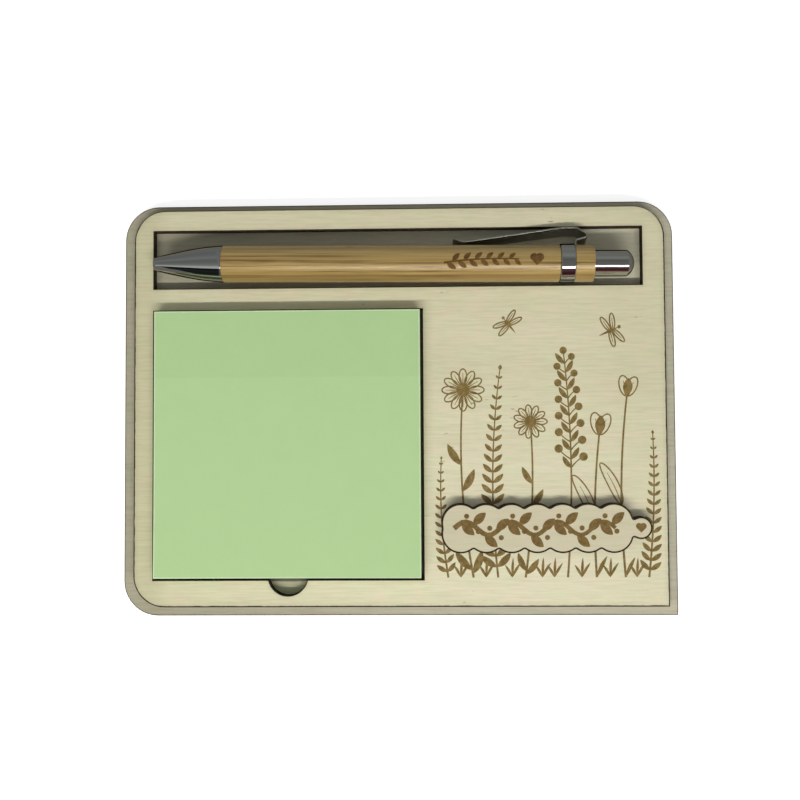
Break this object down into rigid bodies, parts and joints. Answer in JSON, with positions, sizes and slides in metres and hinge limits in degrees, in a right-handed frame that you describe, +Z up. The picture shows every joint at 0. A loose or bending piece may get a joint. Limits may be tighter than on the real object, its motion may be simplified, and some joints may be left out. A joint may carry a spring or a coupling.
{
  "type": "sticky note and pen holder",
  "caption": "Flat plywood desk tray with a square pocket for a sticky note pad, a finger notch, a slot holding a push-button ballpoint pen, and a raised scalloped plaque.",
  "frame": {"origin": "centre of the base plate's underside", "axes": "+X along the pen slot, from the pen's nose to its button; +Y from the finger notch to the pen slot; +Z up"},
  "size_m": [0.16, 0.1196, 0.0143],
  "materials": {
    "plywood": "matte",
    "backing_card": "matte",
    "note_paper": "matte",
    "bamboo": "satin",
    "chrome_trim": "polished",
    "spring_steel": "satin",
    "spring_wire": "satin",
    "ball_steel": "polished",
    "brass_inner": "satin",
    "inner_plastic": "matte",
    "rotor_plastic": "matte",
    "tube_plastic": "gloss",
    "ink": "gloss"
  },
  "bodies": {
    "tray": {"base_plate": "plywood", "top_frame": "plywood", "plaque": "plywood"},
    "pad": {"backing_sheet": "backing_card", "note_block": "note_paper"},
    "note": {"top_note": "note_paper"},
    "pen": {"nose_cone": "chrome_trim", "barrel": "bamboo", "barrel_insert": "brass_inner", "centre_band": "chrome_trim", "tail_sleeve": "bamboo", "mechanism_housing": "inner_plastic", "return_spring": "spring_wire"},
    "clip": {"pocket_clip": "spring_steel"},
    "button": {"push_button": "chrome_trim", "plunger": "inner_plastic"},
    "refill": {"cam_rotor": "rotor_plastic", "refill_tube": "tube_plastic", "refill_tip": "brass_inner", "writing_ball": "ball_steel", "ink_column": "ink"}
  },
  "joints": [
    {"name": "pad_lift", "type": "slide", "parent": "tray", "child": "pad", "axis": [0, 0, 1], "range_m": [0, 0.03]},
    {"name": "note_peel", "type": "hinge", "parent": "pad", "child": "note", "pos_m": [-0.0316, 0.02799, 0.0096], "axis": [-1, 0, 0], "range_deg": [0, 75]},
    {"name": "pen_lift", "type": "slide", "parent": "tray", "child": "pen", "axis": [0, 0, 1], "range_m": [0, 0.04]},
    {"name": "clip_flex", "type": "hinge", "parent": "pen", "child": "clip", "pos_m": [0.05106, 0.04548, 0.00732], "axis": [-0.0025, -0.2928, -0.9562], "range_deg": [0, 5], "stiffness_Nm_per_rad": 0.8},
    {"name": "button_press", "type": "slide", "parent": "pen", "child": "button", "axis": [-1, 0.0086, 0], "range_m": [0, 0.006], "stiffness_N_per_m": 250},
    {"name": "refill_feed", "type": "slide", "parent": "pen", "child": "refill", "axis": [-1, 0.0086, 0], "range_m": [0, 0.006], "deforming": ["return_spring"]}
  ],
  "couplings": [
    {"joint": "refill_feed", "follows": "button_press", "ratio": 1}
  ]
}
